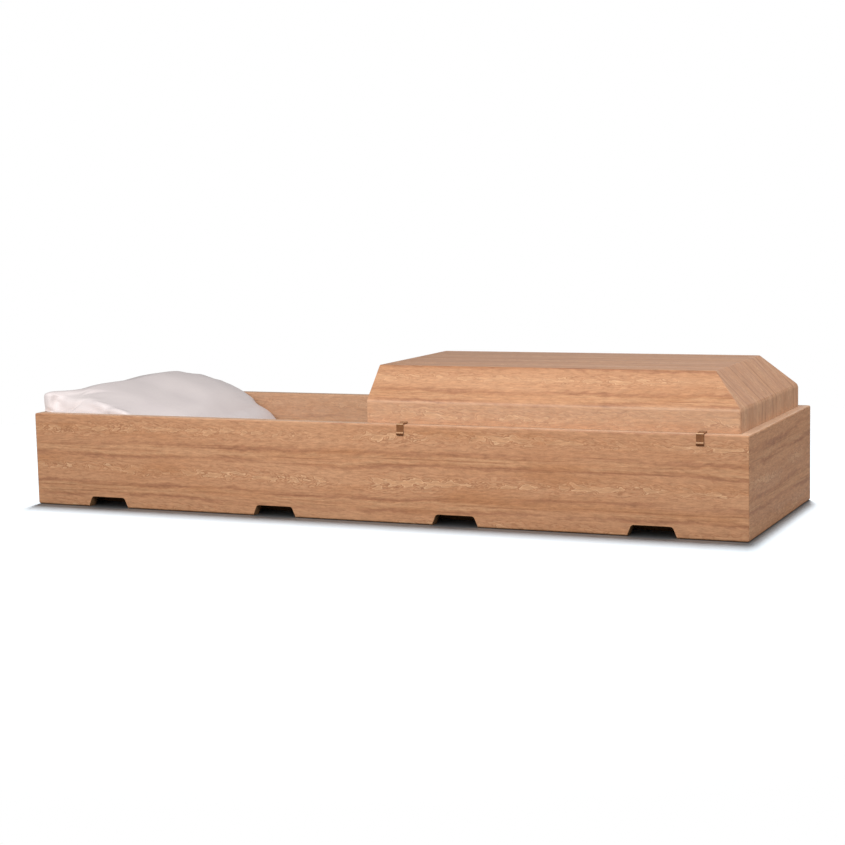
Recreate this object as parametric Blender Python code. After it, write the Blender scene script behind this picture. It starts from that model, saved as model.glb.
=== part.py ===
"""Cremation container: a long oak-print tray, a hipped half lid over its foot end, clips and a pillow.

Metres, +Z up. X runs along the tray, head end at -X and foot end at +X. The front is at -Y.
The origin is on the ground, below the middle of the tray.
"""

import math

import bmesh
import bpy

# Tray
LENGTH = 2.032
WIDTH = 0.660
WALL_HEIGHT = 0.257
WALL = 0.032
FLOOR_THICKNESS = 0.012
FLOOR_ABOVE_NOTCH = 0.0055
RUNNER_SETBACK = 0.100
RUNNER_THICKNESS = 0.020

# Hand notches in the bottom edge of each long side
NOTCH_TOP_WIDTH = 0.104
NOTCH_FOOT_WIDTH = 0.128
NOTCH_HEIGHT = 0.0285
NOTCH_CORNER_RADIUS = 0.006
NOTCH_CORNER_STEPS = 5
NOTCH_COUNT = 4
NOTCH_FROM_HEAD = 0.2315
NOTCH_FROM_FOOT = 0.2405

# Half lid
LID_LENGTH = 0.986
LID_INSET = 0.026
LID_BAND = 0.057
LID_RISE = 0.085
LID_SLOPE_RUN = 0.084
LID_BOARD = 0.007
LID_LINER = 0.0065
LID_LINER_BELOW_CREASE = 0.012
LID_LIP_DROP = 0.020
LID_LIP_CLEARANCE = 0.0015

# Clips over the tray's rim
CLIP_WIDTH = 0.019
CLIP_THICKNESS = 0.0025
CLIP_PLATE = 0.0195
CLIP_TAB_RISE = 0.0045
CLIP_BEAD_REACH = 0.0035
CLIP_BEAD_SLOPE = 0.003
CLIP_BEAD_HEIGHT = 0.0095
CLIP_FROM_CUT_END = 0.105
CLIP_FROM_FOOT_END = 0.093

# Pillow
PILLOW_LENGTH = 0.534
PILLOW_DEPTH = 0.324
PILLOW_SIDE_CLEARANCE = 0.005
PILLOW_CENTRE_FROM_HEAD = 0.208
PILLOW_CENTRE_HEIGHT = 0.157
PILLOW_TILT = math.radians(11.5)
PILLOW_OVERHANG = 0.022
PILLOW_SIDE_POWER = 10
PILLOW_AROUND = 40
PILLOW_ACROSS = 28

# Gap between pieces that touch
TOUCH = 0.0003
# How far a cutter runs past the face that it cuts
OVERRUN = 0.010

# Sizes that follow from those above
HALF_LENGTH = LENGTH / 2
HALF_WIDTH = WIDTH / 2
FLOOR_UNDERSIDE = NOTCH_HEIGHT + FLOOR_ABOVE_NOTCH
FLOOR_TOP = FLOOR_UNDERSIDE + FLOOR_THICKNESS
INNER_HALF_LENGTH = HALF_LENGTH - WALL
INNER_HALF_WIDTH = HALF_WIDTH - WALL
LID_FOOT_X = HALF_LENGTH - LID_INSET
LID_CUT_X = LID_FOOT_X - LID_LENGTH


def clear_scene():
    for obj in list(bpy.data.objects):
        bpy.data.objects.remove(obj, do_unlink=True)


def surface_material(name, colour, roughness):
    material = bpy.data.materials.new(name)
    material.use_nodes = True
    shader = material.node_tree.nodes["Principled BSDF"]
    shader.inputs["Base Color"].default_value = (*colour, 1.0)
    shader.inputs["Roughness"].default_value = roughness
    shader.inputs["Metallic"].default_value = 0.0
    return material


def mesh_object(name, bm, material=None):
    bmesh.ops.recalc_face_normals(bm, faces=bm.faces)
    mesh = bpy.data.meshes.new(name)
    bm.to_mesh(mesh)
    bm.free()
    obj = bpy.data.objects.new(name, mesh)
    bpy.context.scene.collection.objects.link(obj)
    if material:
        mesh.materials.append(material)
    return obj


def box_mesh(low, high):
    """A box between its lowest and its highest corner."""
    bm = bmesh.new()
    bmesh.ops.create_cube(bm, size=1.0)
    for vert in bm.verts:
        for axis in range(3):
            vert.co[axis] = low[axis] if vert.co[axis] < 0 else high[axis]
    return bm


def prism_mesh(outline, place, depth):
    """An outline of (u, v) points as a closed prism. place(u, v, d) gives the point at depth d."""
    bm = bmesh.new()
    near = [bm.verts.new(place(u, v, 0.0)) for u, v in outline]
    far = [bm.verts.new(place(u, v, depth)) for u, v in outline]
    bm.faces.new(near)
    bm.faces.new(reversed(far))
    for i in range(len(outline)):
        j = (i + 1) % len(outline)
        bm.faces.new((near[j], near[i], far[i], far[j]))
    return bm


def cut(target, name, bm):
    """Cuts a closed mesh out of the target."""
    cutter = mesh_object(name, bm)
    cutter.hide_render = True
    cutter.display_type = "WIRE"
    modifier = target.modifiers.new(name, "BOOLEAN")
    modifier.operation = "DIFFERENCE"
    modifier.solver = "EXACT"
    modifier.object = cutter


def notch_outline():
    """One hand notch about its middle, run past the foot edge, its two upper corners rounded."""
    half_top = NOTCH_TOP_WIDTH / 2
    flare = (NOTCH_FOOT_WIDTH - NOTCH_TOP_WIDTH) / 2
    lean = math.atan2(flare, NOTCH_HEIGHT)
    turn = math.pi / 2 - lean
    centre_x = half_top - NOTCH_CORNER_RADIUS * math.tan(turn / 2)
    centre_z = NOTCH_HEIGHT - NOTCH_CORNER_RADIUS
    foot_x = half_top + flare * (NOTCH_HEIGHT + OVERRUN) / NOTCH_HEIGHT
    right = []
    for step in range(NOTCH_CORNER_STEPS + 1):
        angle = lean + turn * step / NOTCH_CORNER_STEPS
        x = centre_x + NOTCH_CORNER_RADIUS * math.cos(angle)
        right.append((x, centre_z + NOTCH_CORNER_RADIUS * math.sin(angle)))
    right.insert(0, (foot_x, -OVERRUN))
    return right + [(-x, z) for x, z in reversed(right)]


def notch_centres():
    """The notches' places along X, spread evenly from the first to the last."""
    first = NOTCH_FROM_HEAD - HALF_LENGTH
    last = HALF_LENGTH - NOTCH_FROM_FOOT
    return [first + (last - first) * i / (NOTCH_COUNT - 1) for i in range(NOTCH_COUNT)]


def build_tray(material):
    tray = mesh_object(
        "tray",
        box_mesh((-HALF_LENGTH, -HALF_WIDTH, 0.0), (HALF_LENGTH, HALF_WIDTH, WALL_HEIGHT)),
        material,
    )
    cut(
        tray,
        "cut_interior",
        box_mesh(
            (-INNER_HALF_LENGTH, -INNER_HALF_WIDTH, FLOOR_TOP),
            (INNER_HALF_LENGTH, INNER_HALF_WIDTH, WALL_HEIGHT + OVERRUN),
        ),
    )
    runner_outer = HALF_WIDTH - RUNNER_SETBACK
    runner_inner = runner_outer - RUNNER_THICKNESS
    bays = {
        "front": (-INNER_HALF_WIDTH, -runner_outer),
        "middle": (-runner_inner, runner_inner),
        "back": (runner_outer, INNER_HALF_WIDTH),
    }
    for bay, (y_low, y_high) in bays.items():
        cut(
            tray,
            f"cut_under_{bay}",
            box_mesh(
                (-INNER_HALF_LENGTH, y_low, -OVERRUN),
                (INNER_HALF_LENGTH, y_high, FLOOR_UNDERSIDE),
            ),
        )
    sides = {"front": -HALF_WIDTH - OVERRUN, "back": INNER_HALF_WIDTH - OVERRUN}
    for side, y_start in sides.items():
        for i, centre in enumerate(notch_centres()):
            cut(
                tray,
                f"cut_notch_{side}_{i + 1}",
                prism_mesh(
                    notch_outline(),
                    lambda u, v, d, x=centre, y=y_start: (x + u, y + d, v),
                    WALL + 2 * OVERRUN,
                ),
            )
    return tray


def lid_rings():
    """Rectangles that bound the lid, from its outer bottom edge up, over and down the inside.

    Each is (inset at the cut end, inset at the foot end, inset at the sides, height),
    with the insets measured in from the lid's outer faces.
    """
    seat = WALL_HEIGHT + TOUCH
    crease = WALL_HEIGHT + LID_BAND
    top = crease + LID_RISE
    slope = LID_RISE / LID_SLOPE_RUN
    lift = LID_BOARD * math.hypot(1.0, slope)
    inner_crease = crease + LID_BOARD * slope - lift
    inner_top = top - LID_BOARD
    inner_run = LID_BOARD + (inner_top - inner_crease) / slope
    lip_outer = WALL + LID_LIP_CLEARANCE - LID_INSET
    lip_inner = lip_outer + LID_LINER
    lip_foot = WALL_HEIGHT - LID_LIP_DROP
    liner_top = crease - LID_LINER_BELOW_CREASE
    return [
        (0.0, 0.0, 0.0, seat),
        (0.0, 0.0, 0.0, crease),
        (0.0, LID_SLOPE_RUN, LID_SLOPE_RUN, top),
        (LID_BOARD, inner_run, inner_run, inner_top),
        (LID_BOARD, LID_BOARD, LID_BOARD, inner_crease),
        (LID_BOARD, LID_BOARD, LID_BOARD, liner_top),
        (lip_inner, lip_inner, lip_inner, liner_top),
        (lip_inner, lip_inner, lip_inner, lip_foot),
        (lip_outer, lip_outer, lip_outer, lip_foot),
        (lip_outer, lip_outer, lip_outer, seat),
    ]


def build_lid(material):
    half_width = HALF_WIDTH - LID_INSET
    bm = bmesh.new()
    rings = []
    for cut_inset, foot_inset, side_inset, height in lid_rings():
        x_low = LID_CUT_X + cut_inset
        x_high = LID_FOOT_X - foot_inset
        y = half_width - side_inset
        corners = [(x_low, -y), (x_high, -y), (x_high, y), (x_low, y)]
        rings.append([bm.verts.new((cx, cy, height)) for cx, cy in corners])
    outer_top = 2
    for i, ring in enumerate(rings):
        if i == outer_top:
            continue
        following = rings[(i + 1) % len(rings)]
        for a in range(4):
            b = (a + 1) % 4
            bm.faces.new((ring[a], ring[b], following[b], following[a]))
    bm.faces.new(rings[outer_top])
    bm.faces.new(reversed(rings[outer_top + 1]))
    return mesh_object("lid", bm, material)


def clip_outline():
    """Side view of a clip: u runs in from the tray's outer face, v up from the tray's rim."""
    face = -TOUCH
    outer = face - CLIP_THICKNESS
    flange_top = TOUCH + CLIP_THICKNESS
    band = LID_INSET - TOUCH
    tab = band - CLIP_THICKNESS
    tab_top = flange_top + CLIP_TAB_RISE
    bead = outer - CLIP_BEAD_REACH
    return [
        (band, TOUCH),
        (band, tab_top),
        (tab, tab_top),
        (tab, flange_top),
        (outer + CLIP_THICKNESS / 2, flange_top),
        (outer, flange_top - CLIP_THICKNESS / 2),
        (outer, -CLIP_PLATE),
        (bead, -CLIP_PLATE - CLIP_BEAD_SLOPE),
        (bead, -CLIP_PLATE - CLIP_BEAD_SLOPE - CLIP_THICKNESS),
        (face, -CLIP_PLATE - CLIP_BEAD_HEIGHT),
        (face, TOUCH),
    ]


def build_clips(material):
    places = {"head": LID_CUT_X + CLIP_FROM_CUT_END, "foot": LID_FOOT_X - CLIP_FROM_FOOT_END}
    for side, inward in (("front", 1.0), ("back", -1.0)):
        for end, centre in places.items():

            def place(u, v, d, x=centre, way=inward):
                return (x - CLIP_WIDTH / 2 + d, way * (u - HALF_WIDTH), WALL_HEIGHT + v)

            clip = prism_mesh(clip_outline(), place, CLIP_WIDTH)
            mesh_object(f"clip_{side}_{end}", clip, material.copy())


def pillow_mesh():
    """A crowned form: an elliptical section in X and Z, tilted up at the head, with soft flat sides."""
    half_width = INNER_HALF_WIDTH - PILLOW_SIDE_CLEARANCE
    centre_x = PILLOW_CENTRE_FROM_HEAD - HALF_LENGTH
    head_limit = -INNER_HALF_LENGTH - PILLOW_OVERHANG
    bm = bmesh.new()

    def point(across, around):
        share = math.sin(across)
        swell = (1.0 - abs(share) ** PILLOW_SIDE_POWER) ** (1.0 / PILLOW_SIDE_POWER)
        along = PILLOW_LENGTH / 2 * swell * math.cos(around)
        up = PILLOW_DEPTH / 2 * swell * math.sin(around) - along * math.tan(PILLOW_TILT)
        x = max(centre_x + along, head_limit)
        return bm.verts.new((x, half_width * share, PILLOW_CENTRE_HEIGHT + up))

    rows = []
    for i in range(1, PILLOW_ACROSS):
        across = math.pi * (i / PILLOW_ACROSS - 0.5)
        rows.append([point(across, math.tau * j / PILLOW_AROUND) for j in range(PILLOW_AROUND)])
    for near, far in zip(rows, rows[1:]):
        for j in range(PILLOW_AROUND):
            k = (j + 1) % PILLOW_AROUND
            bm.faces.new((near[j], near[k], far[k], far[j]))
    bm.faces.new(reversed(rows[0]))
    bm.faces.new(rows[-1])
    return bm


def build_pillow(material):
    pillow = mesh_object("pillow", pillow_mesh(), material)
    pillow.data.shade_smooth()
    far = PILLOW_LENGTH + LENGTH
    cut(
        pillow,
        "cut_rest_on_floor",
        box_mesh((-far, -WIDTH, -far), (far, WIDTH, FLOOR_TOP + TOUCH)),
    )
    cut(
        pillow,
        "cut_rest_on_head_wall",
        box_mesh((-far, -WIDTH, -far), (TOUCH - INNER_HALF_LENGTH, WIDTH, WALL_HEIGHT + TOUCH)),
    )


def main():
    clear_scene()
    oak_print = surface_material("oak_print_board", (0.58, 0.31, 0.18), 0.5)
    brown_plastic = surface_material("brown_plastic", (0.24, 0.09, 0.035), 0.4)
    satin = surface_material("white_satin", (0.80, 0.77, 0.78), 0.45)
    build_tray(oak_print)
    build_lid(oak_print.copy())
    build_clips(brown_plastic)
    build_pillow(satin)


main()
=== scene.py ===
"""Looks of the cremation container: printed oak board tray and half lid, brown clips, white satin pillow.

Metres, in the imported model's frame: X along the tray with the foot end at +X, the front at -Y, +Z up.
"""

import math

import bmesh
import bpy
from mathutils import Matrix, Vector


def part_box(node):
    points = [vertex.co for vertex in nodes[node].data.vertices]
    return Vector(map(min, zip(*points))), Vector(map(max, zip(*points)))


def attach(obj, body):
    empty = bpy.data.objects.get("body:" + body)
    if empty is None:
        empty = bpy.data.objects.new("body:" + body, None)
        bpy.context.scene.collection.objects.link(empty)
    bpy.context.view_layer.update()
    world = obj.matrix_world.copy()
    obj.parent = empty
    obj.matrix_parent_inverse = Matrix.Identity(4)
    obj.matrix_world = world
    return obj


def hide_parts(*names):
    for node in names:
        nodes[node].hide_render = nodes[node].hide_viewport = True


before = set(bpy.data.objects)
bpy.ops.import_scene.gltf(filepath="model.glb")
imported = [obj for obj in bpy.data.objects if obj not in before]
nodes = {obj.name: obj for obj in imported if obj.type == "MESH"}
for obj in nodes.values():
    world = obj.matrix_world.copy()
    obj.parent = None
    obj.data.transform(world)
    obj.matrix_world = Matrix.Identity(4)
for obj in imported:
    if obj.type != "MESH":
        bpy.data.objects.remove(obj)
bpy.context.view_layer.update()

# Tray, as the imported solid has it
WALL = 0.032
FLOOR_TOP = 0.046
FLOOR_UNDERSIDE = 0.034
RUNNER_SETBACK = 0.100
RUNNER_THICKNESS = 0.020
NOTCH_TOP_WIDTH = 0.104
NOTCH_FOOT_WIDTH = 0.128
NOTCH_HEIGHT = 0.0285
NOTCH_ROUND = 0.006
NOTCH_STEPS = 6
NOTCH_CENTRES = [-0.7845, -0.2645, 0.2555, 0.7755]

# Lid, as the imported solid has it
LID_BAND = 0.057
LID_SLOPE_RUN = 0.084
LID_BOARD = 0.007
LID_LINER = 0.0065
LID_LINER_BELOW_CREASE = 0.012
LID_LIP_DROP = 0.020
LID_LINER_GAP = 0.0005

# How tightly each fold of the board is rounded
RIM_ROUND = 0.0045
CORNER_ROUND = 0.0025
EDGE_ROUND = 0.0010
FOOT_ROUND = 0.0060
CREASE_ROUND = 0.0060
TOP_FOLD_ROUND = 0.0030
LID_CORNER_ROUND = 0.0060
HIP_ROUND = 0.0030
FOLD_STEPS = 4
SHARP_FOLD = math.radians(12)
SMOOTH_BELOW = math.radians(35)

# How far the print is painted paler, from 0 to 1: rubbed print, painted highlights on the rim, the folds and
# the crease, and painted light on the walls' insides and the lid's band
RIM_WEAR_AND_HIGHLIGHT = 0.5
CORNER_HIGHLIGHT = 0.2
INSIDE_PAINTED_LIGHT = 0.22
CREASE_WEAR_AND_HIGHLIGHT = 0.9
BAND_PAINTED_LIGHT = 0.14
LID_TOP_WEAR = 0.04

# Where each wall's sheet starts across the print: on the front wall two hearts run at 0.110 and 0.226
SHEET_START = [0.0056, 0.031, 0.064, 0.089]

# How far apart the walls' sheets lie along the print, and where the lid's sheet lies on it
SHEET_STEP = 3.7
LID_PRINT = (17.3, 0.0283)

# Clips
CLIP_THICKNESS = 0.0025
CLIP_BEAD_HEIGHT = 0.0080
CLIP_BEAD_SLOPE = 0.002
CLIP_BEAD_REACH = 0.0030
CLIP_PLATE = 0.0195
CLIP_TAB_RISE = 0.0028
CLIP_EDGE_ROUND = 0.0004
CLIP_BEND_ROUND = 0.0020
CLIP_BORDER = 0.0028
CLIP_RECESS = 0.0007
CLIP_SHARP = math.radians(25)
# Painted tones of the clip: painted highlights on the bend and the bead, painted shade below the bead
BEND_HIGHLIGHT = 0.8
BEAD_HIGHLIGHT = 0.6
UNDERSIDE_SHADE = -1.0
BEND_TILT = 0.1
STRAIGHT_UP = 0.995
TOUCH = 0.0003

# Camera, fitted to the corners of the tray and the lid
CAMERA_AZIMUTH = math.radians(24.141)
CAMERA_ELEVATION = math.radians(6.868)
CAMERA_ROLL = math.radians(-1.277)
CAMERA_DISTANCE = 5.1455
CAMERA_TARGET = Vector((0.0243, 0.0, 0.2208))
CAMERA_LENS = 80.131
CAMERA_SENSOR = 36.0

# How far a cutter reaches past what it cuts, when two places are the same, and when a face looks one way
CUT_THROUGH = 0.010
NEAR = 0.0005
FACING = 0.9
SLOPED = 0.35
END_FACING = 0.5

# Sizes of marks in materials are in millimetres
MM = 0.001

tray_low, tray_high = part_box("tray")
lid_low, lid_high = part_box("lid")
RIM = tray_high.z
LID_SEAT = RIM + TOUCH
CREASE = RIM + LID_BAND


# Selecting and modelling

def activate(piece, *others):
    """Selects the piece, and any others with it, and makes it the active one."""
    bpy.ops.object.select_all(action="DESELECT")
    for one in (piece, *others):
        one.select_set(True)
    bpy.context.view_layer.objects.active = piece


def open_piece(name, low, high):
    """Adds a cube between two corners, its object at the origin, and opens it in edit mode."""
    bpy.ops.object.select_all(action="DESELECT")
    low, high = Vector(low), Vector(high)
    bpy.ops.mesh.primitive_cube_add(size=1.0, location=(low + high) / 2, scale=high - low)
    bpy.ops.object.transform_apply(location=True, rotation=True, scale=True)
    piece = bpy.context.active_object
    piece.name = piece.data.name = name
    bpy.ops.object.mode_set(mode="EDIT")
    return piece


def pick(piece, faces=None, edges=None, verts=None):
    """Selects only the faces, edges or points of the piece that pass the test given."""
    mesh = bmesh.from_edit_mesh(piece.data)
    bpy.ops.mesh.select_all(action="DESELECT")
    mode = "FACE" if faces else "EDGE" if edges else "VERT"
    bpy.ops.mesh.select_mode(type=mode)
    if faces:
        for face in mesh.faces:
            face.select_set(bool(faces(face.calc_center_median(), face.normal)))
    elif edges:
        for edge in mesh.edges:
            ends = [vert.co for vert in edge.verts]
            edge.select_set(bool(edges((ends[0] + ends[1]) / 2, (ends[1] - ends[0]).normalized())))
    else:
        for vert in mesh.verts:
            vert.select_set(bool(verts(vert.co)))
    mesh.select_flush_mode()
    bmesh.update_edit_mesh(piece.data)


def extrude(*step):
    bpy.ops.mesh.extrude_region_move(TRANSFORM_OT_translate={"value": step})


def close_piece():
    bpy.ops.object.mode_set(mode="OBJECT")


def apply_modifier(piece, kind, **settings):
    """Adds a modifier to the piece and applies it."""
    activate(piece)
    modifier = piece.modifiers.new(kind.lower(), kind)
    for setting, value in settings.items():
        setattr(modifier, setting, value)
    bpy.ops.object.modifier_apply(modifier=modifier.name)


def round_folds(piece, radius_at):
    """Rounds the piece's edges. radius_at(middle, way, convex) gives each sharp edge its radius in metres."""
    activate(piece)
    bpy.ops.object.mode_set(mode="EDIT")
    mesh = bmesh.from_edit_mesh(piece.data)
    weight = mesh.edges.layers.float.new("bevel_weight_edge")
    radii = {}
    for edge in mesh.edges:
        if len(edge.link_faces) == 2 and edge.calc_face_angle() > SHARP_FOLD:
            ends = [vert.co for vert in edge.verts]
            way = (ends[1] - ends[0]).normalized()
            radii[edge] = radius_at((ends[0] + ends[1]) / 2, way, edge.is_convex)
    widest = max(radii.values())
    for edge, radius in radii.items():
        edge[weight] = radius / widest
    bmesh.update_edit_mesh(piece.data)
    close_piece()
    apply_modifier(
        piece,
        "BEVEL",
        limit_method="WEIGHT",
        offset_type="OFFSET",
        width=widest,
        segments=FOLD_STEPS,
        use_clamp_overlap=False,
        material=1,
    )


def mark_wear_and_painted_light(piece, wear_and_painted_light_at):
    """Writes to each point how far the print is painted paler: rubbed print, painted highlights and painted
    light. The rounded faces, marked by their material, are folds.
    """
    mesh = piece.data
    flat = {v for face in mesh.polygons if face.material_index != 1 for v in face.vertices}
    wear_and_painted_light = mesh.attributes.new("wear_and_painted_light", "FLOAT", "POINT")
    for vert in mesh.vertices:
        wear_and_painted_light.data[vert.index].value = wear_and_painted_light_at(vert.co, vert.index not in flat)
    for face in mesh.polygons:
        face.material_index = 0


def lay_print(piece, place):
    """Gives each face corner its place on the flat printed sheet, in metres."""
    mesh = piece.data
    sheet = mesh.uv_layers.new(name="sheet")
    for face in mesh.polygons:
        for corner in face.loop_indices:
            point = mesh.vertices[mesh.loops[corner].vertex_index].co
            sheet.data[corner].uv = place(face.center, face.normal, point)


def finish_shading(piece):
    """Smooth folds between flat faces."""
    activate(piece)
    bpy.ops.object.shade_smooth_by_angle(angle=SMOOTH_BELOW)
    apply_modifier(piece, "WEIGHTED_NORMAL", keep_sharp=True)


# Materials

def shade(hex_colour):
    """A linear colour from sRGB hex digits."""
    values = [int(hex_colour[i : i + 2], 16) / 255 for i in (0, 2, 4)]
    linear = [v / 12.92 if v <= 0.04045 else ((v + 0.055) / 1.055) ** 2.4 for v in values]
    return (*linear, 1.0)


def add_node(tree, kind, links=None, stops=None, **settings):
    """Adds a node. links maps a socket's name or number to a value, a node or another socket."""
    node = tree.nodes.new("ShaderNode" + kind)
    for setting, value in settings.items():
        setattr(node, setting, value)
    for name, value in (links or {}).items():
        if isinstance(value, bpy.types.Node):
            value = next(socket for socket in value.outputs if socket.enabled)
        if isinstance(value, bpy.types.NodeSocket):
            tree.links.new(value, node.inputs[name])
        else:
            node.inputs[name].default_value = value
    if stops:
        ramp = node.color_ramp.elements
        while len(ramp) < len(stops):
            ramp.new(0.5)
        for element, (position, colour) in zip(ramp, stops):
            element.position = position
            element.color = shade(colour) if isinstance(colour, str) else (colour, colour, colour, 1.0)
    return node


def new_material(name, roughness, **plain):
    """A material with its shader's plain values set."""
    material = bpy.data.materials.new(name)
    material.use_nodes = True
    shader = material.node_tree.nodes["Principled BSDF"]
    shader.inputs["Roughness"].default_value = roughness
    for socket, value in plain.items():
        shader.inputs[socket.replace("_", " ")].default_value = value
    return material, material.node_tree, shader


def along_grain(tree, sheet, marks, detail=2.0, roughness=0.5):
    """Noise drawn out along the sheet. marks is its marks' length and width in millimetres."""
    length, width = marks
    stretched = add_node(
        tree, "Mapping", {"Vector": sheet, "Scale": (1 / (length * MM), 1 / (width * MM), 1.0)}
    )
    return add_node(
        tree,
        "TexNoise",
        {"Vector": stretched, "Scale": 1.0, "Detail": detail, "Roughness": roughness},
        noise_dimensions="2D",
    )


# Corrugated board with a golden oak print under a satin varnish. The print shows plain-sawn planks:
# a chain of pale eyes with dark outlines down each plank's heart, and straight dark streaks between.
PLANK = 0.1156
HEART_WANDER = 0.018
ARCH_SLANT = 1.1

# How far each kind of wave moves the rings, as a share of half a plank: at the heart, at the edge
ARCH_REACH = (0.78, 0.20)
BEND_REACH = 0.38
JITTER_REACH = 0.10

# Marks of the print in millimetres, along the grain and across it. Real pores are a tenth of a
# millimetre wide, so they are drawn ten times as wide to show.
HEART_WANDERS = (900, 300)
ARCHES = (34, 15)
BENDS = (260, 60)
JITTER = (10, 4.5)
CLOUDS = (750, 50)
CALM_STRETCHES = (220, 45)
STREAKS = (340, 5.2)
GRAIN_LINES = (27, 5.6)
FIBRES = (70, 2.2)
PORES = (13, 1.0)
CRACKS = (40, 20)

STREAK_BROWN = "75462D"
PORE_BROWN = "603924"
# Pale colour of rubbed print, also used for painted highlights and painted light
RUBBED_PRINT_AND_HIGHLIGHT = "E4C6AC"

# One side of a plank's print, from its heart to its edge
PLANK_RINGS = [
    (0.000, "B88C69"),
    (0.025, "C9A07D"),
    (0.050, "BF9571"),
    (0.075, "94664A"),
    (0.105, "AE7F5D"),
    (0.135, "BC906D"),
    (0.175, "9D6F50"),
    (0.22, "B08160"),
    (0.30, "B58967"),
    (0.35, "A37455"),
    (0.41, "B08261"),
    (0.57, "B08260"),
    (0.64, "A27355"),
    (0.72, "93664B"),
    (0.80, "A87958"),
    (0.90, "B58966"),
    (1.00, "AF805E"),
]


def printed_oak_board():
    material, tree, shader = new_material("printed_oak_board", 0.45, IOR=1.32)
    sheet = add_node(tree, "UVMap", uv_map="sheet")
    axes = add_node(tree, "SeparateXYZ", {0: sheet})
    # Distance from the plank's heart, 0 to 1 at the plank's edge
    wander = along_grain(tree, sheet, HEART_WANDERS, 1.0)
    sway = add_node(tree, "MapRange", {0: wander, 3: -HEART_WANDER, 4: HEART_WANDER})
    across = add_node(tree, "Math", {0: axes.outputs["Y"], 1: sway}, operation="ADD")
    heart = add_node(tree, "Math", {0: across, 1: PLANK / 2}, operation="PINGPONG")
    side = add_node(tree, "Math", {0: heart, 1: 2 / PLANK}, operation="MULTIPLY")
    # Rings bent into eyes at the heart and arches beside it
    slid = add_node(
        tree, "Math", {0: heart, 1: ARCH_SLANT, 2: axes.outputs["X"]}, operation="MULTIPLY_ADD"
    )
    arched = add_node(tree, "CombineXYZ", {0: slid, 1: across})
    arches = along_grain(tree, arched, ARCHES, 1.0)
    arch_reach = add_node(tree, "MapRange", {0: side, 1: 0.0, 2: 0.7, 3: ARCH_REACH[0], 4: ARCH_REACH[1]})
    ring_place = side
    for wave, reach in (
        (arches, arch_reach),
        (along_grain(tree, sheet, BENDS, 1.0), BEND_REACH),
        (along_grain(tree, arched, JITTER, 2.0, 0.6), JITTER_REACH),
    ):
        centred = add_node(tree, "Math", {0: wave, 1: 0.5}, operation="SUBTRACT")
        ring_place = add_node(
            tree, "Math", {0: centred, 1: reach, 2: ring_place}, operation="MULTIPLY_ADD"
        )
    ringed = add_node(tree, "ValToRGB", {0: ring_place}, stops=PLANK_RINGS)
    # Calm stretches, where the rings fade into cloudy bands
    cloud = along_grain(tree, sheet, CLOUDS, 3.0, 0.55)
    base = add_node(
        tree, "ValToRGB", {0: cloud}, stops=[(0.30, "A5734F"), (0.50, "AE7E5C"), (0.70, "B68967")]
    )
    calm = along_grain(tree, sheet, CALM_STRETCHES, 2.0)
    calm_share = add_node(tree, "MapRange", {0: calm, 1: 0.38, 2: 0.66, 3: 0.05, 4: 0.78})
    figured = add_node(tree, "Mix", {0: calm_share, 6: ringed, 7: base}, data_type="RGBA")
    # Dark straight streaks, mostly near the plank's edges
    edge = add_node(tree, "MapRange", {0: side, 1: 0.50, 2: 0.75, 3: 0.25, 4: 1.0})
    streak = along_grain(tree, sheet, STREAKS, 2.0, 0.6)
    streak_cut = add_node(tree, "MapRange", {0: streak, 1: 0.54, 2: 0.74, 3: 0.0, 4: 0.42})
    streak_here = add_node(tree, "Math", {0: edge, 1: streak_cut}, operation="MULTIPLY")
    streaked = add_node(
        tree, "Mix", {0: streak_here, 6: figured, 7: shade(STREAK_BROWN)}, data_type="RGBA"
    )
    # Wavy grain lines, then fine fibre and pores
    toned = streaked
    fibre = along_grain(tree, sheet, FIBRES, 3.0, 0.65)
    for marks, low, high in (
        (along_grain(tree, arched, GRAIN_LINES, 3.0, 0.65), 0.83, 1.17),
        (fibre, 0.92, 1.07),
    ):
        tone = add_node(tree, "MapRange", {0: marks, 1: 0.25, 2: 0.75, 3: low, 4: high})
        toned = add_node(
            tree, "Mix", {0: 1.0, 6: toned, 7: tone}, data_type="RGBA", blend_type="MULTIPLY"
        )
    pores = along_grain(tree, sheet, PORES, 1.0)
    pores_cut = add_node(tree, "MapRange", {0: pores, 1: 0.64, 2: 0.72, 3: 0.0, 4: 0.30})
    pored = add_node(tree, "Mix", {0: pores_cut, 6: toned, 7: shade(PORE_BROWN)}, data_type="RGBA")
    # Rubbed places and folds, where the print has cracked and shows paler, and painted highlights and painted
    # light in the same pale colour
    wear_and_painted_light = add_node(tree, "Attribute", attribute_name="wear_and_painted_light")
    crack = along_grain(tree, sheet, CRACKS, 3.0, 0.7)
    crack_tone = add_node(tree, "MapRange", {0: crack, 1: 0.3, 2: 0.7, 3: 0.55, 4: 1.0})
    worn_and_painted_light = add_node(tree, "Math", {0: wear_and_painted_light.outputs["Fac"], 1: crack_tone}, operation="MULTIPLY")
    coloured = add_node(tree, "Mix", {0: worn_and_painted_light, 6: pored, 7: shade(RUBBED_PRINT_AND_HIGHLIGHT)}, data_type="RGBA")
    tree.links.new(coloured.outputs[2], shader.inputs["Base Color"])
    gloss = add_node(tree, "MapRange", {0: cloud, 1: 0.3, 2: 0.7, 3: 0.42, 4: 0.54})
    tree.links.new(gloss.outputs[0], shader.inputs["Roughness"])
    relief = add_node(tree, "Bump", {"Height": fibre, "Strength": 0.25, "Distance": 0.00008})
    tree.links.new(relief.outputs[0], shader.inputs["Normal"])
    return material


# Unprinted kraft board: matt brown paper with long fibres and the faint wash of the flutes under it.
# Sizes are in millimetres. A wave texture's bands lie 2 pi / 20 of its scale apart.
KRAFT_FIBRES = 3.846
KRAFT_BLOTCHES = 111.1
FLUTE_PITCH = 7.2
FLUTE_SCALE = 2 * math.pi / (20 * FLUTE_PITCH * MM)


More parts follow.
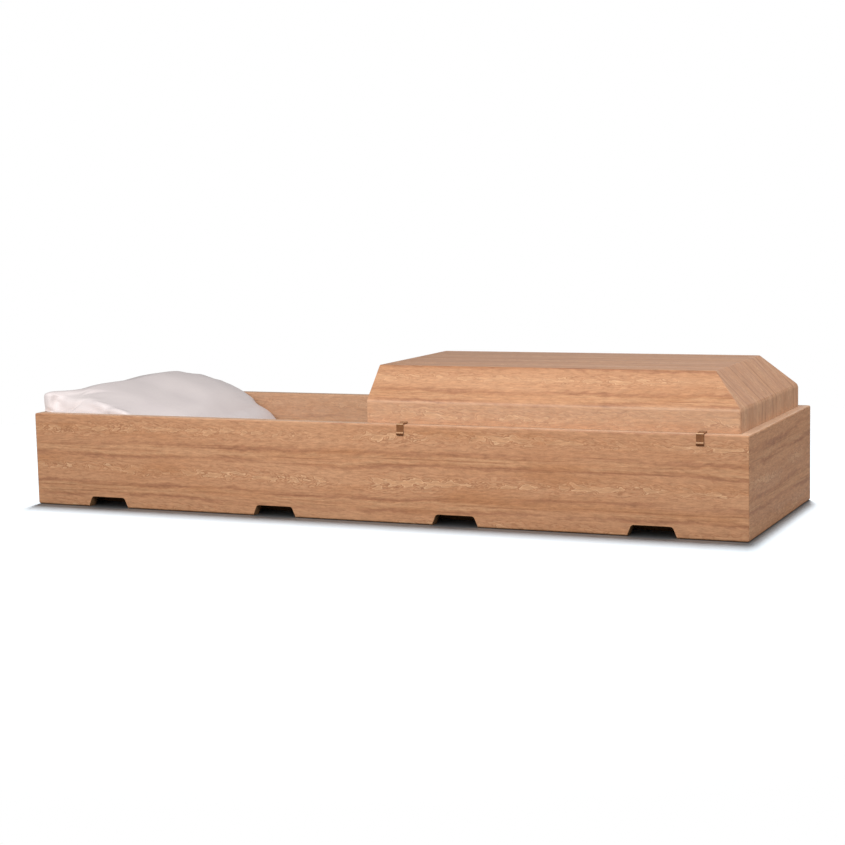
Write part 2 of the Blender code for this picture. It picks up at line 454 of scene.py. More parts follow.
def kraft_board():
    material, tree, shader = new_material("kraft_board", 0.85, IOR=1.45)
    place = add_node(tree, "TexCoord").outputs["Object"]
    fibres = add_node(
        tree, "TexNoise", {"Vector": place, "Scale": 1 / (KRAFT_FIBRES * MM), "Detail": 4.0, "Roughness": 0.7}
    )
    blotches = add_node(
        tree, "TexNoise", {"Vector": place, "Scale": 1 / (KRAFT_BLOTCHES * MM), "Detail": 3.0}
    )
    paper = add_node(
        tree, "ValToRGB", {0: fibres}, stops=[(0.30, "8A6440"), (0.52, "A67C53"), (0.72, "B88F66")]
    )
    stained = add_node(tree, "ValToRGB", {0: blotches}, stops=[(0.3, 0.86), (0.7, 1.04)])
    toned = add_node(
        tree, "Mix", {0: 1.0, 6: paper, 7: stained}, data_type="RGBA", blend_type="MULTIPLY"
    )
    tree.links.new(toned.outputs[2], shader.inputs["Base Color"])
    flutes = add_node(
        tree,
        "TexWave",
        {"Vector": place, "Scale": FLUTE_SCALE, "Distortion": 0.4},
        bands_direction="X",
    )
    flute_relief = add_node(tree, "Bump", {"Height": flutes, "Strength": 0.35, "Distance": 0.0002})
    relief = add_node(
        tree, "Bump", {"Height": fibres, "Strength": 0.3, "Distance": 0.0001, "Normal": flute_relief}
    )
    tree.links.new(relief.outputs[0], shader.inputs["Normal"])
    return material


# Moulded brown polypropylene: a soft gloss over a fine spark-eroded grain, painted pale as a highlight on its
# bend and on the bead at its foot, and painted dark as shade below the bead. Sizes are in millimetres. The
# mould's grain is drawn coarser than the real tenth of a millimetre so that it shows.
MOULD_GRAIN = 0.5556
MOULD_SWIRL = 8.333
# Colours of the painted highlight and the painted shade
HIGHLIGHT_PLASTIC = "DDB48A"
SHADE_PLASTIC = "6B3C18"


def moulded_brown_plastic():
    material, tree, shader = new_material("moulded_brown_plastic", 0.38, IOR=1.49)
    place = add_node(tree, "TexCoord").outputs["Object"]
    grain = add_node(tree, "TexNoise", {"Vector": place, "Scale": 1 / (MOULD_GRAIN * MM), "Detail": 2.0})
    swirl = add_node(tree, "TexNoise", {"Vector": place, "Scale": 1 / (MOULD_SWIRL * MM), "Detail": 2.0})
    tone = add_node(tree, "ValToRGB", {0: swirl}, stops=[(0.3, "6C4122"), (0.7, "7D4F2B")])
    painted_highlight_and_shade = add_node(tree, "Attribute", attribute_name="painted_highlight_and_shade")
    pale = add_node(tree, "MapRange", {0: painted_highlight_and_shade.outputs["Fac"], 1: 0.0, 2: 1.0, 3: 0.0, 4: 0.8})
    shaded = add_node(tree, "MapRange", {0: painted_highlight_and_shade.outputs["Fac"], 1: 0.0, 2: -1.0, 3: 0.0, 4: 0.8})
    highlighted = add_node(tree, "Mix", {0: pale, 6: tone, 7: shade(HIGHLIGHT_PLASTIC)}, data_type="RGBA")
    coloured = add_node(tree, "Mix", {0: shaded, 6: highlighted, 7: shade(SHADE_PLASTIC)}, data_type="RGBA")
    tree.links.new(coloured.outputs[2], shader.inputs["Base Color"])
    relief = add_node(tree, "Bump", {"Height": grain, "Strength": 0.4, "Distance": 0.00005})
    tree.links.new(relief.outputs[0], shader.inputs["Normal"])
    return material


# White polyester satin: long floats give a soft sheen and hide the threads. Sizes are in millimetres.
# Real threads lie a tenth of a millimetre apart, so they are drawn much coarser to show at all.
SATIN_CLOUDS = 142.9
SATIN_THREADS = 1.4286


def white_satin():
    material, tree, shader = new_material(
        "white_satin", 0.50, Sheen_Weight=0.12, Sheen_Roughness=0.35, IOR=1.40
    )
    place = add_node(tree, "TexCoord").outputs["Object"]
    cloud = add_node(tree, "TexNoise", {"Vector": place, "Scale": 1 / (SATIN_CLOUDS * MM), "Detail": 2.0})
    tone = add_node(tree, "ValToRGB", {0: cloud}, stops=[(0.3, "CCC2C1"), (0.7, "D4CAC8")])
    tree.links.new(tone.outputs[0], shader.inputs["Base Color"])
    threads = add_node(tree, "TexNoise", {"Vector": place, "Scale": 1 / (SATIN_THREADS * MM), "Detail": 2.0})
    relief = add_node(tree, "Bump", {"Height": threads, "Strength": 0.2, "Distance": 0.0001})
    tree.links.new(relief.outputs[0], shader.inputs["Normal"])
    return material


# Tray

def notch_cutter():
    """One hand notch, flared towards the ground, and its seven copies, as one mesh."""
    outer = tray_high.y
    half = NOTCH_TOP_WIDTH / 2
    cutter = open_piece(
        "notch_cutter",
        (NOTCH_CENTRES[0] - half, -outer - CUT_THROUGH, -CUT_THROUGH),
        (NOTCH_CENTRES[0] + half, -outer + WALL + CUT_THROUGH, NOTCH_HEIGHT),
    )
    flare = (NOTCH_FOOT_WIDTH - NOTCH_TOP_WIDTH) / 2 * (NOTCH_HEIGHT + CUT_THROUGH) / NOTCH_HEIGHT
    for side in (-1, 1):
        pick(cutter, verts=lambda at: at.z < 0 and (at.x - NOTCH_CENTRES[0]) * side > 0)
        bpy.ops.transform.translate(value=(side * flare, 0, 0))
    pick(cutter, edges=lambda at, way: at.z > NOTCH_HEIGHT - NEAR and abs(way.y) > FACING)
    bpy.ops.mesh.bevel(offset=NOTCH_ROUND, segments=NOTCH_STEPS)
    close_piece()
    copies = []
    for centre in NOTCH_CENTRES:
        for across in (0.0, 2 * outer - WALL):
            if centre == NOTCH_CENTRES[0] and across == 0.0:
                continue
            copy = cutter.copy()
            copy.data = cutter.data.copy()
            bpy.context.scene.collection.objects.link(copy)
            copy.data.transform(Matrix.Translation((centre - NOTCH_CENTRES[0], across, 0)))
            copies.append(copy)
    activate(cutter, *copies)
    bpy.ops.object.join()
    return cutter


def tray_fold_radius(middle, way, convex):
    outer_x = tray_high.x - abs(middle.x)
    outer_y = tray_high.y - abs(middle.y)
    if not convex:
        return 0.0
    if RIM - middle.z < NEAR and abs(way.z) < NEAR:
        return RIM_ROUND
    if abs(way.z) > FACING and outer_x < NEAR and outer_y < NEAR:
        return CORNER_ROUND
    if middle.z < NEAR and abs(way.z) < NEAR and min(outer_x, outer_y) < NEAR:
        return FOOT_ROUND
    return EDGE_ROUND


def tray_wear_and_painted_light(point, folded):
    """The rolled rim's print is painted palest, as rubbed print with a painted highlight; the upright corners
    and other folds less, as a painted highlight, and the walls' insides less, as painted light.
    """
    # The rim: rubbed print and a painted highlight
    if point.z > RIM - NEAR or (folded and point.z > RIM - RIM_ROUND - NEAR):
        return RIM_WEAR_AND_HIGHLIGHT
    # Other folds, the upright corners among them: a painted highlight
    if folded:
        return CORNER_HIGHLIGHT if point.z > FOOT_ROUND else 0.0
    # The walls' insides: painted light
    inside = max(abs(point.x) - tray_high.x, abs(point.y) - tray_high.y) < -WALL + NEAR
    return INSIDE_PAINTED_LIGHT if inside else 0.0


def tray_sheet(centre, normal, point):
    """Each wall is one sheet, rolled over its rim and down inside, with the grain along the wall."""
    from_end = tray_high.x - abs(centre.x)
    from_side = tray_high.y - abs(centre.y)
    along_side = from_side < from_end
    if along_side:
        along, inward, wall = point.x, tray_high.y - abs(point.y), 0 if centre.y < 0 else 1
    else:
        along, inward, wall = point.y, tray_high.x - abs(point.x), 2 if centre.x < 0 else 3
    depth = from_side if along_side else from_end
    if depth > WALL / 2:
        across = RIM + inward + (RIM - point.z)
    else:
        across = point.z + inward
    return along + SHEET_STEP * wall, across + SHEET_START[wall]


def model_tray(oak, kraft):
    piece = open_piece("tray_board", tray_low, tray_high)
    pick(piece, faces=lambda at, way: way.z > FACING)
    bpy.ops.mesh.inset(thickness=WALL)
    extrude(0, 0, FLOOR_TOP - RIM)
    pick(piece, faces=lambda at, way: way.z < -FACING)
    bpy.ops.mesh.inset(thickness=WALL)
    runner_outer = tray_high.y - RUNNER_SETBACK
    runner_inner = runner_outer - RUNNER_THICKNESS
    inner_y = tray_high.y - WALL
    for y in (-runner_outer, -runner_inner, runner_inner, runner_outer):
        pick(piece, faces=lambda at, way: way.z < -FACING and abs(at.x) < NEAR and abs(at.y) < inner_y)
        bpy.ops.mesh.bisect(plane_co=(0, y, 0), plane_no=(0, 1, 0))
    for low, high in ((-inner_y, -runner_outer), (-runner_inner, runner_inner), (runner_outer, inner_y)):
        pick(
            piece,
            faces=lambda at, way: way.z < -FACING and max(at.z, abs(at.x)) < NEAR and low < at.y < high,
        )
        extrude(0, 0, FLOOR_UNDERSIDE)
    close_piece()
    cutter = notch_cutter()
    apply_modifier(piece, "BOOLEAN", operation="DIFFERENCE", solver="EXACT", object=cutter)
    bpy.data.objects.remove(cutter)
    round_folds(piece, tray_fold_radius)
    mark_wear_and_painted_light(piece, tray_wear_and_painted_light)
    lay_print(piece, tray_sheet)
    piece.data.materials.append(oak)
    piece.data.materials.append(kraft)
    for face in piece.data.polygons:
        at = face.center
        inside = max(abs(at.x) - tray_high.x, abs(at.y) - tray_high.y) < -2 * EDGE_ROUND
        if inside and (at.z < FLOOR_UNDERSIDE + NEAR or (at.z < FLOOR_TOP + NEAR and face.normal.z > FACING)):
            face.material_index = 1
    finish_shading(piece)
    return piece


# Lid

def lid_fold_radius(middle, way, convex):
    level = abs(way.z) < NEAR
    if abs(middle.x - lid_low.x) < NEAR:
        return EDGE_ROUND
    if level and abs(middle.z - CREASE) < NEAR:
        return CREASE_ROUND
    if level and lid_high.z - middle.z < NEAR:
        return TOP_FOLD_ROUND
    return LID_CORNER_ROUND if abs(way.z) > FACING else HIP_ROUND


def lid_wear_and_painted_light(point, folded):
    """The crease's print is cracked most and painted paler as a highlight. The band is painted paler as
    painted light, as if more brightly lit.
    """
    # Flat board: painted light on the band, rubbed print above it
    if not folded:
        return BAND_PAINTED_LIGHT if point.z < CREASE else LID_TOP_WEAR
    # Folds: cracked print and a painted highlight on the crease
    return CREASE_WEAR_AND_HIGHLIGHT if abs(point.z - CREASE) < CREASE_ROUND else 0.0


def lid_sheet(centre, normal, point):
    """One sheet with its grain along the lid, folded down on all four sides."""
    rise = lid_high.z - CREASE
    stretch = math.hypot(LID_SLOPE_RUN, rise) / LID_SLOPE_RUN
    top_y = lid_high.y - LID_SLOPE_RUN
    top_x = lid_high.x - LID_SLOPE_RUN
    below = max(0.0, CREASE - point.z)
    if abs(normal.y) > max(abs(normal.x), SLOPED):
        down = (abs(point.y) - top_y) * stretch + below
        return point.x + LID_PRINT[0], math.copysign(top_y + down, centre.y) + LID_PRINT[1]
    if normal.x > SLOPED:
        return top_x + (point.x - top_x) * stretch + below + LID_PRINT[0], point.y + LID_PRINT[1]
    if normal.x < -END_FACING:
        return lid_low.x - (lid_high.z - point.z) + LID_PRINT[0], point.y + LID_PRINT[1]
    return point.x + LID_PRINT[0], point.y + LID_PRINT[1]


def model_lid(oak, kraft):
    piece = open_piece("lid_board", (lid_low.x, lid_low.y, LID_SEAT), (lid_high.x, lid_high.y, CREASE))
    pick(piece, faces=lambda at, way: way.z > FACING)
    extrude(0, 0, lid_high.z - CREASE)
    for axis, side in ((0, 1), (1, 1), (1, -1)):
        limit = (lid_high if side > 0 else lid_low)[axis]
        pick(piece, verts=lambda at: at.z > CREASE + NEAR and abs(at[axis] - limit) < NEAR)
        step = Vector()
        step[axis] = -side * LID_SLOPE_RUN
        bpy.ops.transform.translate(value=step)
    pick(piece, faces=lambda at, way: way.z < -FACING)
    bpy.ops.mesh.delete(type="FACE")
    close_piece()
    round_folds(piece, lid_fold_radius)
    mark_wear_and_painted_light(piece, lid_wear_and_painted_light)
    piece.data.materials.append(oak)
    piece.data.materials.append(kraft)
    lay_print(piece, lid_sheet)
    apply_modifier(
        piece,
        "SOLIDIFY",
        thickness=LID_BOARD,
        offset=-1.0,
        use_even_offset=True,
        material_offset=1,
        material_offset_rim=1,
    )
    liner = model_lid_liner(kraft)
    activate(piece, liner)
    bpy.ops.object.join()
    finish_shading(piece)
    return piece


def model_lid_liner(kraft):
    """The band inside the lid that drops past the rim and keeps the lid from sliding off."""
    inset = LID_BOARD + LID_LINER_GAP
    piece = open_piece(
        "lid_liner",
        (lid_low.x + inset, lid_low.y + inset, LID_SEAT + TOUCH),
        (lid_high.x - inset, lid_high.y - inset, CREASE - LID_LINER_BELOW_CREASE),
    )
    pick(piece, faces=lambda at, way: way.z < -FACING)
    bpy.ops.mesh.inset(thickness=LID_LINER - LID_LINER_GAP - NEAR)
    extrude(0, 0, -LID_LIP_DROP)
    bpy.ops.mesh.inset(thickness=LID_LINER)
    bpy.ops.mesh.delete(type="FACE")
    pick(piece, faces=lambda at, way: way.z > FACING)
    bpy.ops.mesh.inset(thickness=2 * LID_LINER - LID_LINER_GAP - NEAR)
    bpy.ops.mesh.delete(type="FACE")
    mesh = bmesh.from_edit_mesh(piece.data)
    bpy.ops.mesh.select_mode(type="EDGE")
    for edge in mesh.edges:
        edge.select_set(edge.is_boundary)
    bmesh.update_edit_mesh(piece.data)
    bpy.ops.mesh.bridge_edge_loops()
    bpy.ops.mesh.select_all(action="SELECT")
    bpy.ops.mesh.normals_make_consistent(inside=False)
    close_piece()
    piece.data.materials.append(kraft)
    piece.data.materials.append(kraft)
    for face in piece.data.polygons:
        face.material_index = 1
    return piece


# Clips

def model_clip(plastic):
    """The front head clip: a strip over the rim, turned up at the lid and beaded at its foot."""
    low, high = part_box("clip_front_head")
    wall_face = -tray_high.y - TOUCH
    outer = wall_face - CLIP_THICKNESS
    band = high.y
    top = RIM + TOUCH + CLIP_THICKNESS
    piece = open_piece("clip_front_head_strip", (low.x, outer, RIM + TOUCH), (high.x, band, top))
    pick(piece, faces=lambda at, way: abs(way.z) > FACING)
    bpy.ops.mesh.bisect(plane_co=(0, wall_face, 0), plane_no=(0, 1, 0))
    pick(piece, faces=lambda at, way: abs(way.z) > FACING)
    bpy.ops.mesh.bisect(plane_co=(0, band - CLIP_THICKNESS, 0), plane_no=(0, 1, 0))
    pick(piece, faces=lambda at, way: way.z > FACING and at.y > band - CLIP_THICKNESS)
    extrude(0, 0, CLIP_TAB_RISE)
    pick(piece, faces=lambda at, way: way.z < -FACING and at.y < wall_face)
    extrude(0, 0, -CLIP_PLATE - TOUCH)
    extrude(0, -CLIP_BEAD_REACH, -CLIP_BEAD_SLOPE)
    extrude(0, 0, -CLIP_THICKNESS)
    extrude(0, CLIP_BEAD_REACH, CLIP_BEAD_SLOPE + CLIP_THICKNESS - CLIP_BEAD_HEIGHT)
    pick(piece, faces=lambda at, way: way.y < -FACING and RIM - CLIP_PLATE < at.z < RIM)
    bpy.ops.mesh.inset(thickness=CLIP_BORDER, depth=-CLIP_RECESS)
    pick(piece, edges=lambda at, way: abs(way.x) > FACING and at.y < outer + NEAR and at.z > top - NEAR)
    bpy.ops.mesh.bevel(offset=CLIP_BEND_ROUND, segments=FOLD_STEPS)
    close_piece()
    piece.data.materials.append(plastic)
    apply_modifier(
        piece, "BEVEL", width=CLIP_EDGE_ROUND, segments=2, limit_method="ANGLE", angle_limit=CLIP_SHARP
    )
    # Painted highlights on the bend and the bead's top, painted shade below the bead
    painted_highlight_and_shade = piece.data.attributes.new("painted_highlight_and_shade", "FLOAT", "FACE")
    bead_top = RIM - CLIP_PLATE
    for side in piece.data.polygons:
        at, way = side.center, side.normal
        on_bend = at.z > RIM and BEND_TILT < way.z < STRAIGHT_UP and way.y < -BEND_TILT
        on_bead = abs(at.z - bead_top) < CLIP_BEAD_SLOPE and way.z > SLOPED
        below_bead = at.z < bead_top - CLIP_BEAD_SLOPE
        tone = BEND_HIGHLIGHT if on_bend else BEAD_HIGHLIGHT if on_bead else UNDERSIDE_SHADE if below_bead else 0.0
        painted_highlight_and_shade.data[side.index].value = tone
    finish_shading(piece)
    return piece


def place_clips(plastic):
    first = model_clip(plastic)
    clips = {"clip_front_head": first}
    head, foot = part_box("clip_front_head")[0].x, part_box("clip_front_foot")[0].x
    for node, step, flip in (
        ("clip_front_foot", foot - head, False),
        ("clip_back_head", 0.0, True),
        ("clip_back_foot", foot - head, True),
    ):
        copy = first.copy()
        copy.data = first.data.copy()
        copy.name = copy.data.name = node + "_strip"
        bpy.context.scene.collection.objects.link(copy)
        copy.data.transform(Matrix.Translation((step, 0, 0)))
        if flip:
            copy.data.transform(Matrix.Scale(-1, 4, (0, 1, 0)))
            copy.data.flip_normals()
        clips[node] = copy
    return clips


# Pillow

PILLOW_VOXEL = 0.0075
PILLOW_INSET = 0.006
PILLOW_HELD_BELOW = 0.200
PILLOW_FREE_ABOVE = 0.235
PILLOW_PRESSURE = 4.0
PILLOW_STEPS = 20
PILLOW_TRAVEL = 0.022
PILLOW_CLEARANCE = 0.0015
PILLOW_WELD = 0.00001

# The cloth: kilograms a point, and stiffness
CLOTH_MASS = 0.12
CLOTH_STRETCH = 12.0
CLOTH_SHEAR = 5.0
CLOTH_BEND = 0.05
CLOTH_QUALITY = 6

# The crest that runs across the pillow. Its back end lies nearer the foot, and it rises twice towards the
# back: each rise is a height, and the y where it starts and ends.
CREST_X = -0.915
CREST_SKEW = (0.065, -0.20, 0.20)
CREST_HEIGHT = 0.323
CREST_RISES = [(0.004, -0.25, -0.12), (0.012, -0.03, 0.10)]

# How the top falls away from the crest, in metres a metre: to the head, where a corner is flatter by the
# share given, and to the foot, steeper towards the front
HEAD_FALL = 0.17
CORNER_FLATTER = 0.6
FOOT_FALL = 0.25
FOOT_FALL_MORE = 0.05
FOOT_FALL_FROM = 0.20
FOOT_FALL_OVER = 0.40

# How far the top drops towards the front wall, between two distances from the middle, and at the head
# corners, between two distances along a line that slants out to each corner
FRONT_DROP = (0.009, 0.14, 0.29)
CORNER_DROP = 0.005
CORNER_LINE = (0.409, -0.9125)
CORNER_SPAN = (0.928, 0.955)

# How far the swollen pillow is pushed out at its sides and head corners, and tucked in at its foot. Each
# pair tells where a move sets in and where it is full: the sides' rise is measured below the rim, the
# corners' above it. CORNER_PUSH is the push along the tray and across it.
SIDE_SPAN = (0.19, 0.26)
SIDE_RISE = (0.035, 0.012)
SIDE_PUSH = 0.016
CORNER_START = (0.92, 0.975)
CORNER_PUSH = (0.034, 0.014)
CORNER_LIFT = 0.022
CORNER_LIFT_RISE = (0.005, 0.033)
BACK_CORNER_LOWER = 0.6
BACK_CORNER_SPAN = (0.0, 0.2)
FOOT_TUCK = (0.010, -0.66, -0.57)

# How softly the top, the head end and the sides are held
TOP_SOFTNESS = 0.012
HEAD_MARGIN = 0.006
SIDE_MARGIN = 0.003

# The front head corner, where both panels are gathered into the seam. Its eye is a dimple of this depth
# and width, and its puckers fan out from a point 0.144 m below it.
GATHER = Vector((-0.970, -0.282, 0.284))
GATHER_REACH = 0.050
GATHER_SLACK = 0.16
GATHER_SPREAD = 1.8
GATHER_EYE = (0.009, 0.014)
PUCKER_COUNT = 12
PUCKER_DEPTH = 0.0045
PUCKER_START = (0.004, 0.022)
PUCKER_RISE = 0.015
PUCKER_SWIRL = 2.0
PUCKER_SKEW = (0.5, 0.288)

# Folds and the seam, as routes over the surface with their width and height
FOLDS = [
    (
        [(-0.925, -0.286, 0.309), (-0.870, -0.288, 0.300), (-0.810, -0.289, 0.282), (-0.750, -0.290, 0.262)],
        0.012,
        0.004,
    ),
    ([(-0.895, -0.292, 0.282), (-0.850, -0.292, 0.270), (-0.800, -0.292, 0.254)], 0.010, -0.003),
    ([(-1.004, -0.280, 0.284), (-1.004, 0.280, 0.284)], 0.006, -0.004),
]


def ease(value, start, end):
    """0 before start, 1 after end, smooth between."""
    share = min(1.0, max(0.0, (value - start) / (end - start)))
    return share * share * (3 - 2 * share)


def soft_limit(value, limit, softness):
    """Holds a value below a limit, rounding the bend over the softness given."""
    over = value - limit
    return value - (over + math.hypot(over, softness)) / 2


def top_height(x, y):
    """Where the top lies: crested across, lower at the head corners, sloping to the foot and to the front."""
    skew, *across = CREST_SKEW
    crest_x = CREST_X + skew * ease(y, *across)
    crest = CREST_HEIGHT
    for rise, start, end in CREST_RISES:
        crest += rise * ease(y, start, end)
    corner = ease(CORNER_LINE[0] * abs(y) + CORNER_LINE[1] * x, *CORNER_SPAN)
    drop, start, end = FRONT_DROP
    crest -= drop * (1 - corner) * ease(-y, start, end)
    foot_fall = FOOT_FALL + FOOT_FALL_MORE * min(1.0, max(0.0, (FOOT_FALL_FROM - y) / FOOT_FALL_OVER))
    before_crest = max(0.0, crest_x - x) * (1 - CORNER_FLATTER * corner)
    past_crest = max(0.0, x - crest_x)
    return crest - CORNER_DROP * corner - foot_fall * past_crest - HEAD_FALL * before_crest


def lie(at):
    """Moves a point of the swollen pillow to where it lies: full to the walls, its head corners square."""
    side = ease(abs(at.y), *SIDE_SPAN) * ease(at.z, RIM - SIDE_RISE[0], RIM - SIDE_RISE[1])
    corner = side * ease(-at.x, *CORNER_START)
    tuck, *foot = FOOT_TUCK
    x = at.x - CORNER_PUSH[0] * corner + tuck * ease(at.x, *foot)
    y = at.y + math.copysign(SIDE_PUSH * side + CORNER_PUSH[1] * corner, at.y)
    risen = ease(at.z, RIM + CORNER_LIFT_RISE[0], RIM + CORNER_LIFT_RISE[1])
    lift = CORNER_LIFT * corner * risen * (1 - BACK_CORNER_LOWER * ease(at.y, *BACK_CORNER_SPAN))
    z = soft_limit(at.z + lift, top_height(x, y), TOP_SOFTNESS)
    x = -soft_limit(-x, -tray_low.x - HEAD_MARGIN, HEAD_MARGIN)
    y = math.copysign(soft_limit(abs(y), tray_high.y - WALL - SIDE_MARGIN, SIDE_MARGIN), y)
    return Vector((x, y, z))


def clear_of_walls(at):
    """Keeps a point out of the head wall: on its rim where it bulges over, else inside the tray."""
    inner_x = tray_low.x + WALL + PILLOW_CLEARANCE
    inner_y = tray_high.y - WALL - PILLOW_CLEARANCE
    y = min(inner_y, max(-inner_y, at.y))
    if at.x > inner_x or at.z > RIM + PILLOW_CLEARANCE:
        return Vector((at.x, y, at.z))
    if at.z > RIM - RIM_ROUND:
        return Vector((at.x, y, RIM + PILLOW_CLEARANCE))
    return Vector((inner_x, y, at.z))


def inflate(piece):
    """Cloth under pressure, held where the tray grips it, with spare cloth at the gathered corner."""
    held = piece.vertex_groups.new(name="held")
    spare = piece.vertex_groups.new(name="spare")
    for vert in piece.data.vertices:
        held.add([vert.index], 1 - ease(vert.co.z, PILLOW_HELD_BELOW, PILLOW_FREE_ABOVE), "REPLACE")
        distance = (vert.co - GATHER).length / GATHER_REACH
        spare.add([vert.index], 1 - ease(distance, 0.4, GATHER_SPREAD), "REPLACE")
    start = [vert.co.copy() for vert in piece.data.vertices]
    modifier = piece.modifiers.new("cloth", "CLOTH")
    cloth = modifier.settings
    cloth.quality = CLOTH_QUALITY
    cloth.mass = CLOTH_MASS
    cloth.tension_stiffness = cloth.compression_stiffness = CLOTH_STRETCH
    cloth.shear_stiffness = CLOTH_SHEAR
    cloth.bending_stiffness = CLOTH_BEND
    cloth.use_pressure = True
    cloth.uniform_pressure_force = PILLOW_PRESSURE
    cloth.vertex_group_mass = "held"
    cloth.vertex_group_shrink = "spare"
    cloth.shrink_min = 0.0
    cloth.shrink_max = -GATHER_SLACK
    cloth.effector_weights.gravity = 0.0
    modifier.point_cache.frame_start = 1
    modifier.point_cache.frame_end = PILLOW_STEPS
    for step in range(1, PILLOW_STEPS + 1):
        bpy.context.scene.frame_set(step)
    activate(piece)
    bpy.ops.object.modifier_apply(modifier=modifier.name)
    bpy.context.scene.frame_set(1)
    for vert, old in zip(piece.data.vertices, start):
        travel = vert.co - old
        if travel.length > PILLOW_TRAVEL:
            vert.co = old + travel * (PILLOW_TRAVEL / travel.length)
    piece.vertex_groups.clear()


def nearness(at, route, width):
    """1 on a route of points, falling off to 0 past its width."""
    nearest = 1.0
    for start, end in zip(route, route[1:]):
        start, end = Vector(start), Vector(end)
        way = end - start
        share = min(1.0, max(0.0, (at - start).dot(way) / way.length_squared))
        nearest = min(nearest, (at - start - way * share).length)
    return math.exp(-((nearest / width) ** 2))


def fold(at, normal):
    """Small puckers that fan out from the gathered corner, the long folds and the seam."""
    away = at - GATHER
    distance = away.length
    turn = math.atan2(away.z + PUCKER_SKEW[0] * (away.y + PUCKER_SKEW[1]), away.x)
    fan = -math.cos(PUCKER_COUNT * turn + PUCKER_SWIRL * distance / GATHER_REACH)
    fade = math.exp(-((distance / GATHER_REACH) ** 2)) * ease(distance, *PUCKER_START)
    fade *= ease(at.z, RIM, RIM + PUCKER_RISE)
    eye_depth, eye_width = GATHER_EYE
    lift = PUCKER_DEPTH * fan * fade - eye_depth * math.exp(-((distance / eye_width) ** 2))
    for route, width, height in FOLDS:
        lift += height * nearness(at, route, width)
    return normal * lift


def model_pillow(satin):
    piece = nodes["pillow"].copy()
    piece.data = nodes["pillow"].data.copy()
    piece.name = piece.data.name = "satin_pillow"
    piece.parent = None
    for key in list(piece.keys()):
        del piece[key]
    bpy.context.scene.collection.objects.link(piece)
    piece.data.materials.clear()
    piece.data.materials.append(satin)
    apply_modifier(piece, "WELD", merge_threshold=PILLOW_WELD)
    apply_modifier(piece, "REMESH", mode="VOXEL", voxel_size=PILLOW_VOXEL)
    apply_modifier(piece, "SMOOTH", factor=0.5, iterations=6)
    normals = [vert.normal.copy() for vert in piece.data.vertices]
    for vert, normal in zip(piece.data.vertices, normals):
        vert.co -= normal * PILLOW_INSET * ease(vert.co.z, PILLOW_HELD_BELOW, PILLOW_FREE_ABOVE)
    inflate(piece)
    for vert in piece.data.vertices:
        vert.co = lie(vert.co)
    apply_modifier(piece, "SMOOTH", factor=0.5, iterations=2)
    apply_modifier(piece, "SUBSURF", levels=1, render_levels=1)
    bpy.ops.object.mode_set(mode="EDIT")
    pick(piece, faces=lambda at, way: (at - GATHER).length < GATHER_SPREAD * GATHER_REACH)
    bpy.ops.mesh.subdivide(number_cuts=1)
    close_piece()
    moves = [fold(vert.co, vert.normal) for vert in piece.data.vertices]
    for vert, move in zip(piece.data.vertices, moves):
        vert.co = clear_of_walls(vert.co + move)
    bpy.ops.object.shade_smooth()
    return piece


# Stage, lights and camera

# The floor is a cool grey under a strong overhead lamp. It sends less light back up to the object than
# it shows, and fades out between the two distances given.
FLOOR_SIZE = 24.0
FLOOR_TONE = (0.60, 0.65, 0.69, 1.0)
FLOOR_BOUNCE = (0.22, 0.22, 0.22, 1.0)
FLOOR_FADE = (1.5, 2.6)

# Lamps: name, place, where it points, width, height, watts. The overhead one lights the floor alone.
SOFTBOXES = [
    ("key_softbox", (0.0, -2.4, 1.8), (0.0, 0.0, 0.15), 3.4, 1.0, 113.0),
    ("foot_softbox", (2.6, 0.3, 2.0), (1.0, 0.0, 0.2), 1.6, 1.2, 42.0),
    ("low_softbox", (3.4, -0.9, 0.7), (0.9, -0.2, 0.1), 1.2, 0.5, 7.0),
    ("rear_softbox", (0.3, 2.6, 1.3), (0.2, 0.0, 0.3), 3.4, 1.0, 8.0),
]
OVERHEAD_LAMP = ("overhead_light", (-2.2, 8.6, 30.0), (0.0, 0.0, 0.0), 4.0, 12.0, 16700.0)

WHITE = (1.0, 1.0, 1.0, 1.0)
AMBIENT = 0.20


def add_floor():
    """A pale sweep that fades into the white backdrop a few metres away."""
    bpy.ops.object.select_all(action="DESELECT")
    bpy.ops.mesh.primitive_plane_add(size=FLOOR_SIZE, location=(0, 0, 0))
    floor = bpy.context.active_object
    floor.name = "floor"
    material, tree, shader = new_material("pale_sweep", 0.9)
    shader.inputs["Specular IOR Level"].default_value = 0.0
    seen = add_node(tree, "LightPath").outputs["Is Camera Ray"]
    tone = add_node(tree, "Mix", {0: seen, 6: FLOOR_BOUNCE, 7: FLOOR_TONE}, data_type="RGBA")
    tree.links.new(tone.outputs[2], shader.inputs["Base Color"])
    place = add_node(tree, "TexCoord").outputs["Object"]
    away = add_node(tree, "VectorMath", {0: place}, operation="LENGTH").outputs["Value"]
    fade = add_node(tree, "MapRange", {0: away, 1: FLOOR_FADE[0], 2: FLOOR_FADE[1], 3: 1.0, 4: 0.0})
    tree.links.new(fade.outputs[0], shader.inputs["Alpha"])
    floor.data.materials.append(material)
    return floor


def add_lamp(name, at, target, width, height, power, floor, reaches_floor):
    """A flat lamp that lights either the floor alone or all but the floor."""
    light = bpy.data.lights.new(name, "AREA")
    light.shape = "RECTANGLE"
    light.size = width
    light.size_y = height
    light.energy = power
    lamp = bpy.data.objects.new(name, light)
    lamp.location = at
    lamp.rotation_euler = (Vector(target) - Vector(at)).to_track_quat("-Z", "Y").to_euler()
    bpy.context.scene.collection.objects.link(lamp)
    reach = bpy.data.collections.new(name + "_reach")
    reach.objects.link(floor)
    reach.collection_objects[0].light_linking.link_state = "INCLUDE" if reaches_floor else "EXCLUDE"
    lamp.light_linking.receiver_collection = reach


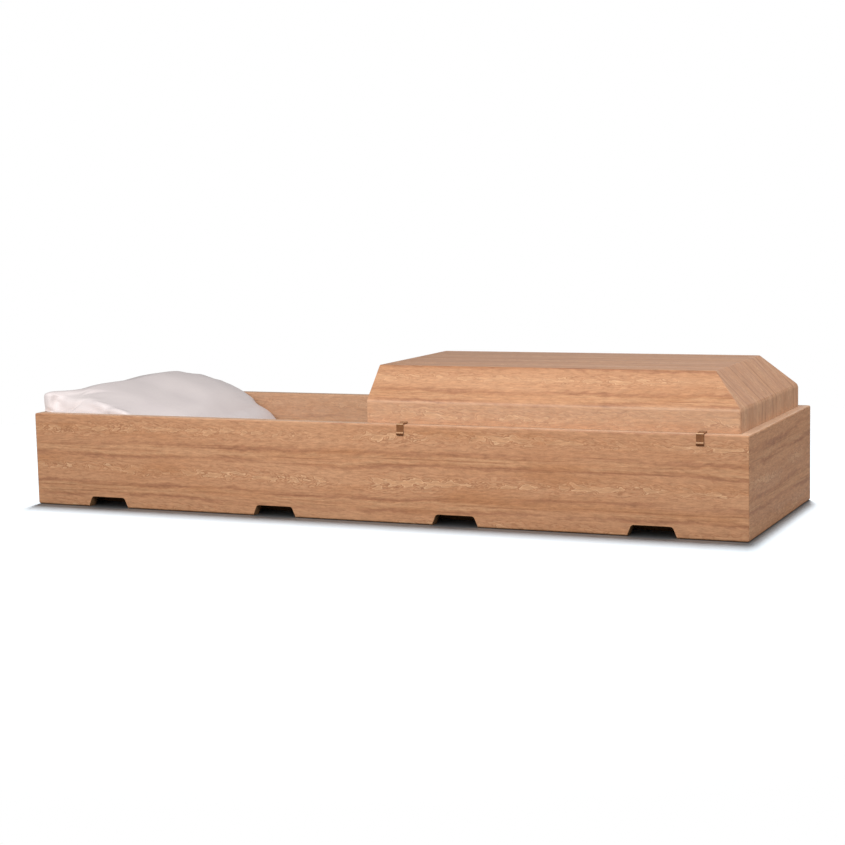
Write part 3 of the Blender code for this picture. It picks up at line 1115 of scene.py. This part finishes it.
def add_world():
    """White behind the object, and softer light from all round."""
    world = bpy.data.worlds.new("studio")
    world.use_nodes = True
    bpy.context.scene.world = world
    tree = world.node_tree
    tree.nodes.clear()
    backdrop = add_node(tree, "Background", {0: WHITE, 1: 1.0})
    ambient = add_node(tree, "Background", {0: WHITE, 1: AMBIENT})
    seen = add_node(tree, "LightPath").outputs["Is Camera Ray"]
    both = add_node(tree, "MixShader", {0: seen, 1: ambient, 2: backdrop})
    add_node(tree, "OutputWorld", {0: both})


def add_camera():
    """The photo's viewpoint: back, right and up are the camera's own axes."""
    back = Vector((
        math.sin(CAMERA_AZIMUTH) * math.cos(CAMERA_ELEVATION),
        -math.cos(CAMERA_AZIMUTH) * math.cos(CAMERA_ELEVATION),
        math.sin(CAMERA_ELEVATION),
    ))
    level = Vector((math.cos(CAMERA_AZIMUTH), math.sin(CAMERA_AZIMUTH), 0.0))
    upright = back.cross(level)
    right = math.cos(CAMERA_ROLL) * level + math.sin(CAMERA_ROLL) * upright
    up = -math.sin(CAMERA_ROLL) * level + math.cos(CAMERA_ROLL) * upright
    data = bpy.data.cameras.new("camera")
    data.lens = CAMERA_LENS
    data.sensor_width = CAMERA_SENSOR
    camera = bpy.data.objects.new("camera", data)
    camera.matrix_world = Matrix.Translation(CAMERA_TARGET + back * CAMERA_DISTANCE) @ Matrix(
        (right, up, back)
    ).transposed().to_4x4()
    bpy.context.scene.collection.objects.link(camera)
    bpy.context.scene.camera = camera


add_camera()
add_world()
floor = add_floor()
for softbox in SOFTBOXES:
    add_lamp(*softbox, floor, False)
add_lamp(*OVERHEAD_LAMP, floor, True)
bpy.context.scene.view_settings.view_transform = "Standard"

oak = printed_oak_board()
kraft = kraft_board()
plastic = moulded_brown_plastic()
satin = white_satin()

tray = model_tray(oak, kraft)
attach(tray, "root")
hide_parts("tray")

lid = model_lid(oak, kraft)
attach(lid, "root")
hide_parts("lid")

for node, clip in place_clips(plastic).items():
    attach(clip, "root")
    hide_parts(node)

pillow = model_pillow(satin)
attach(pillow, "root")
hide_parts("pillow")
